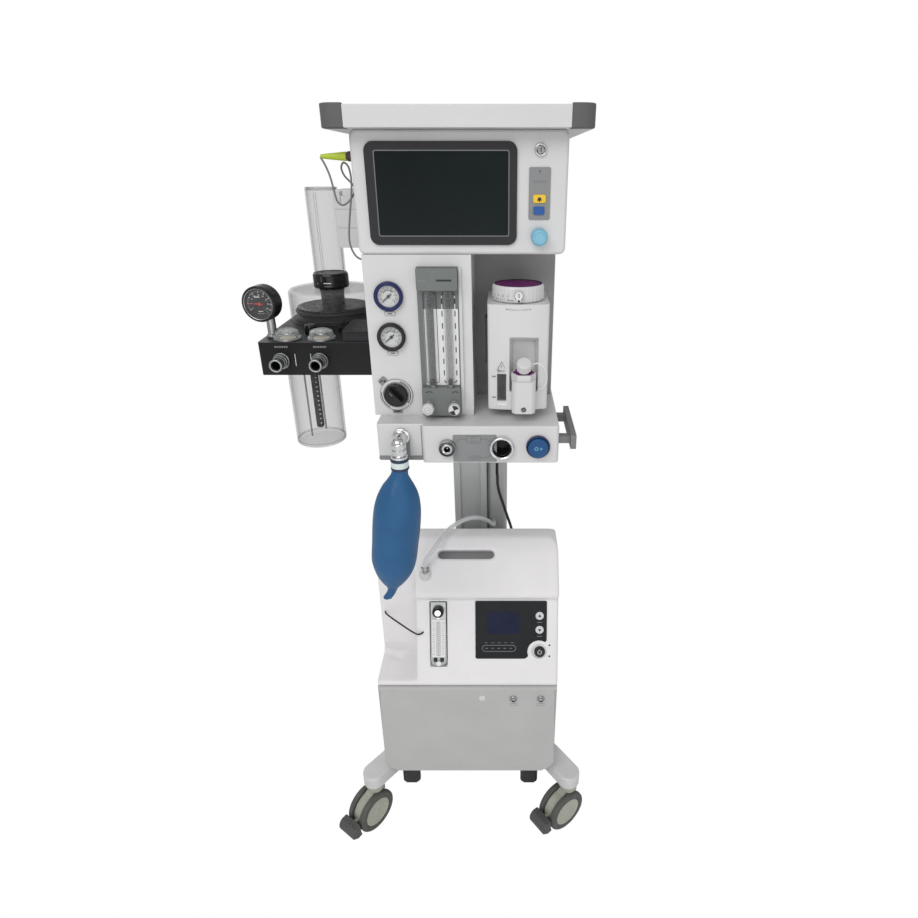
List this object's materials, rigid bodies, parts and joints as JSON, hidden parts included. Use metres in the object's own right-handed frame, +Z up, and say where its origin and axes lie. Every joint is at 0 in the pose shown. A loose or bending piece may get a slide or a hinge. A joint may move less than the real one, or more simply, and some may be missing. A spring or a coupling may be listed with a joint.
{
  "type": "anesthesia machine",
  "caption": "Trolley anesthesia machine with display head, gas panel, vaporizer, rebreathing circuit with bag, and a castored base carrying an oxygen concentrator.",
  "frame": {"origin": "on the floor, under the middle of the whole machine", "axes": "+Z up, +Y towards the back, +X to the right as seen from the front"},
  "size_m": [0.6207, 0.6532, 1.515],
  "materials": {
    "shell_white": "satin moulded plastic",
    "cover_grey": "fine-grained grey plastic",
    "frame_steel": "powder coated",
    "mast_aluminium": "anodised extrusion",
    "core_metal": "cast and drawn metal",
    "panel_dark": "dark gloss panel",
    "bumper_grey": "soft grey rubber",
    "gauge_case": "dark lacquer",
    "panel_grey": "grey anodised look",
    "chrome": "polished",
    "rail_grey": "powder coated",
    "block_black": "black anodised",
    "clear": "clear polycarbonate",
    "module_grey": "light grey plastic",
    "caster_pale": "pale olive plastic",
    "tyre": "grey rubber tyre",
    "pedal": "dark plastic",
    "encoder_blue": "light blue plastic",
    "knob_black": "black plastic",
    "dial_white": "white knurled plastic",
    "flush_blue": "blue plastic",
    "bag_blue": "matt blue rubber",
    "bellows_black": "black rubber",
    "needle": "lacquered",
    "disc": "thin valve disc",
    "hose_clear": "clear tubing",
    "lead_black": "black sheath",
    "sensor_grey": "grey sheath"
  },
  "bodies": {
    "machine": {"base_frame": "frame_steel", "leg_covers": "shell_white", "mast": "mast_aluminium", "concentrator_shell": "shell_white", "concentrator_cover": "cover_grey", "control_panel": "panel_dark", "concentrator_core": "core_metal", "oxygen_flowmeter": "clear", "bottle_strap": "lead_black", "cabinet": "shell_white", "display_housing": "shell_white", "display_screen": "panel_dark", "top_tray": "shell_white", "tray_corners": "bumper_grey", "gas_plate": "shell_white", "pressure_gauges": "gauge_case", "flowmeter_panel": "panel_grey", "vaporizer_body": "shell_white", "worktop": "shell_white", "outlet_ports": "chrome", "side_rail": "rail_grey", "circuit_block": "block_black", "breathing_ports": "chrome", "valve_domes": "clear", "airway_gauge": "gauge_case", "bellows_housing": "clear", "relief_tube": "clear", "bag_elbow": "chrome", "side_module": "module_grey", "bellows": "bellows_black", "oxygen_hose": "hose_clear", "power_cable": "lead_black", "sensor_cable": "sensor_grey"},
    "encoder": {"encoder_knob": "encoder_blue"},
    "selector": {"selector_knob": "knob_black"},
    "o2_flow": {"o2_flow_knob": "chrome"},
    "air_flow": {"air_flow_knob": "chrome"},
    "dial": {"vaporizer_dial": "dial_white"},
    "cap": {"filler_cap": "dial_white"},
    "flush": {"flush_button": "flush_blue"},
    "bag": {"breathing_bag": "bag_blue"},
    "canister": {"absorber_canister": "clear"},
    "bellows_top": {"bellows_disc": "bellows_black"},
    "power": {"power_button": "knob_black"},
    "flowmeter_knob": {"concentrator_knob": "chrome"},
    "o2_pointer": {"o2_needle": "needle"},
    "air_pointer": {"air_needle": "needle"},
    "airway_pointer": {"airway_needle": "needle"},
    "inhale_valve": {"inhale_disc": "disc"},
    "exhale_valve": {"exhale_disc": "disc"},
    "fork_fl": {"caster_fork_fl": "caster_pale"},
    "wheel_fl": {"caster_wheel_fl": "tyre"},
    "fork_fr": {"caster_fork_fr": "caster_pale"},
    "wheel_fr": {"caster_wheel_fr": "tyre"},
    "fork_rl": {"caster_fork_rl": "caster_pale"},
    "wheel_rl": {"caster_wheel_rl": "tyre"},
    "fork_rr": {"caster_fork_rr": "caster_pale"},
    "wheel_rr": {"caster_wheel_rr": "tyre"},
    "pedal_fl": {"brake_pedal_fl": "pedal"},
    "pedal_fr": {"brake_pedal_fr": "pedal"}
  },
  "joints": [
    {"name": "swivel_fl", "type": "hinge", "parent": "machine", "child": "fork_fl", "pos_m": [-0.1867, -0.1676, 0.11], "axis": [0, 0, 1], "continuous": true},
    {"name": "roll_fl", "type": "hinge", "parent": "fork_fl", "child": "wheel_fl", "pos_m": [-0.19874, -0.18357, 0.05], "axis": [-0.7986, 0.6018, 0], "continuous": true},
    {"name": "brake_fl", "type": "hinge", "parent": "fork_fl", "child": "pedal_fl", "pos_m": [-0.22823, -0.22271, 0.045], "axis": [0.7986, -0.6018, 0], "range_deg": [0, 12]},
    {"name": "swivel_fr", "type": "hinge", "parent": "machine", "child": "fork_fr", "pos_m": [0.2713, -0.1676, 0.11], "axis": [0, 0, 1], "continuous": true},
    {"name": "roll_fr", "type": "hinge", "parent": "fork_fr", "child": "wheel_fr", "pos_m": [0.25554, -0.17991, 0.05], "axis": [-0.6157, 0.788, 0], "continuous": true},
    {"name": "brake_fr", "type": "hinge", "parent": "fork_fr", "child": "pedal_fr", "pos_m": [0.21693, -0.21008, 0.045], "axis": [0.6157, -0.788, 0], "range_deg": [0, 12]},
    {"name": "swivel_rl", "type": "hinge", "parent": "machine", "child": "fork_rl", "pos_m": [-0.1627, 0.2884, 0.11], "axis": [0, 0, 1], "continuous": true},
    {"name": "roll_rl", "type": "hinge", "parent": "fork_rl", "child": "wheel_rl", "pos_m": [-0.15331, 0.27074, 0.05], "axis": [-0.8829, -0.4695, 0], "continuous": true},
    {"name": "swivel_rr", "type": "hinge", "parent": "machine", "child": "fork_rr", "pos_m": [0.2473, 0.2884, 0.11], "axis": [0, 0, 1], "continuous": true},
    {"name": "roll_rr", "type": "hinge", "parent": "fork_rr", "child": "wheel_rr", "pos_m": [0.23916, 0.27013, 0.05], "axis": [-0.9135, 0.4067, 0], "continuous": true},
    {"name": "encoder_turn", "type": "hinge", "parent": "machine", "child": "encoder", "pos_m": [0.1683, -0.2216, 1.344], "axis": [0, 1, 0], "continuous": true},
    {"name": "selector_turn", "type": "hinge", "parent": "machine", "child": "selector", "pos_m": [-0.0597, -0.2216, 1.098], "axis": [0, 1, 0], "range_deg": [0, 90]},
    {"name": "o2_flow_turn", "type": "hinge", "parent": "machine", "child": "o2_flow", "pos_m": [-0.0047, -0.2416, 1.085], "axis": [0, -1, 0], "range_deg": [0, 810]},
    {"name": "air_flow_turn", "type": "hinge", "parent": "machine", "child": "air_flow", "pos_m": [0.0373, -0.2416, 1.085], "axis": [0, -1, 0], "range_deg": [0, 810]},
    {"name": "dial_turn", "type": "hinge", "parent": "machine", "child": "dial", "pos_m": [0.1393, -0.1816, 1.26], "axis": [0, 0, 1], "range_deg": [0, 270]},
    {"name": "cap_turn", "type": "hinge", "parent": "machine", "child": "cap", "pos_m": [0.1483, -0.2316, 1.138], "axis": [0, -0.5736, 0.8192], "range_deg": [0, 720]},
    {"name": "flush_press", "type": "slide", "parent": "machine", "child": "flush", "axis": [0, 1, 0], "range_m": [0, 0.004], "stiffness_N_per_m": 600},
    {"name": "bag_turn", "type": "hinge", "parent": "machine", "child": "bag", "pos_m": [-0.0497, -0.2866, 1.01], "axis": [0, 0, 1], "range_deg": [-60, 60]},
    {"name": "canister_turn", "type": "hinge", "parent": "machine", "child": "canister", "pos_m": [-0.2347, -0.0716, 1.118], "axis": [0, 0, 1], "range_deg": [0, 40]},
    {"name": "bellows_travel", "type": "slide", "parent": "machine", "child": "bellows_top", "axis": [0, 0, 1], "range_m": [-0.008, 0], "deforming": ["bellows"]},
    {"name": "power_press", "type": "slide", "parent": "machine", "child": "power", "axis": [0, 0.9511, -0.309], "range_m": [0, 0.002], "stiffness_N_per_m": 600},
    {"name": "flowmeter_turn", "type": "hinge", "parent": "machine", "child": "flowmeter_knob", "pos_m": [-0.0217, -0.12459, 0.58041], "axis": [0, -0.9511, 0.309], "range_deg": [0, 810]},
    {"name": "o2_pointer_turn", "type": "hinge", "parent": "machine", "child": "o2_pointer", "pos_m": [-0.0607, -0.2156, 1.257], "axis": [0, 1, 0], "range_deg": [0, 270]},
    {"name": "air_pointer_turn", "type": "hinge", "parent": "machine", "child": "air_pointer", "pos_m": [-0.0607, -0.2156, 1.194], "axis": [0, 1, 0], "range_deg": [0, 270]},
    {"name": "airway_pointer_turn", "type": "hinge", "parent": "machine", "child": "airway_pointer", "pos_m": [-0.2797, -0.1526, 1.235], "axis": [0.1392, 0.9903, 0], "range_deg": [-30, 210]},
    {"name": "inhale_lift", "type": "slide", "parent": "machine", "child": "inhale_valve", "axis": [0, 0, 1], "range_m": [0, 0.003]},
    {"name": "exhale_lift", "type": "slide", "parent": "machine", "child": "exhale_valve", "axis": [0, 0, 1], "range_m": [0, 0.003]}
  ]
}
